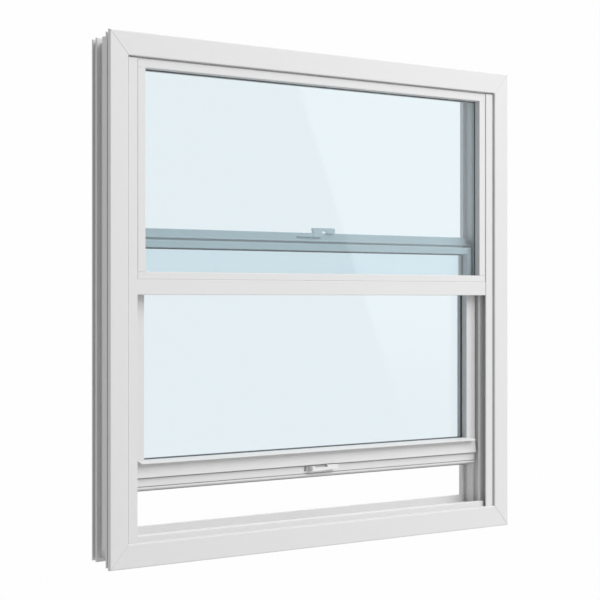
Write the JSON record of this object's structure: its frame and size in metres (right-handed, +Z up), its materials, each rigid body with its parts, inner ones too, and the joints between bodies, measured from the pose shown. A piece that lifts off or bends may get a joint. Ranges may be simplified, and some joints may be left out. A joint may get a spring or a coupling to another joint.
{
  "type": "single hung window",
  "caption": "Single hung vinyl window with a fixed upper light, a raised lower sash in side tracks, double glazing, sash lock and a mitred flanged frame with a wall fin.",
  "frame": {"origin": "on the back face of the wall fin, at the middle of its strip under the sill, half way across the width", "axes": "-Y towards the weather, +Y into the wall and the room, +X to the right seen from outside, +Z up"},
  "size_m": [1.206, 0.073, 1.054],
  "materials": {
    "vinyl": "satin white extruded vinyl",
    "glass": "clear, faint blue tint",
    "spacer": "dark grey warm-edge spacer",
    "hardware": "satin white powder coat",
    "pile": "grey woven pile",
    "seal": "grey bulb seal"
  },
  "bodies": {
    "root": {"frame_head": "vinyl", "frame_sill": "vinyl", "frame_jamb_left": "vinyl", "frame_jamb_right": "vinyl", "track_left": "vinyl", "track_right": "vinyl", "balance_cover_left": "vinyl", "balance_cover_right": "vinyl", "sill_insert": "vinyl", "meeting_rail": "vinyl", "upper_stop_left": "vinyl", "upper_stop_right": "vinyl", "upper_bead_top": "vinyl", "upper_bead_bottom": "vinyl", "upper_bead_left": "vinyl", "upper_bead_right": "vinyl", "sash_bottom_rail": "vinyl", "sash_top_rail": "vinyl", "sash_stile_left": "vinyl", "sash_stile_right": "vinyl", "sash_bead_bottom": "vinyl", "sash_bead_left": "vinyl", "sash_bead_right": "vinyl", "sash_lift_rail": "vinyl", "upper_pane_outer": "glass", "upper_pane_inner": "glass", "sash_pane_outer": "glass", "sash_pane_inner": "glass", "upper_spacer": "spacer", "sash_spacer": "spacer", "lock_housing": "hardware", "lock_lever": "hardware", "latch_post": "hardware", "latch_lever": "hardware", "meeting_rail_pile": "pile", "sash_bottom_seal": "seal"}
  },
  "joints": []
}
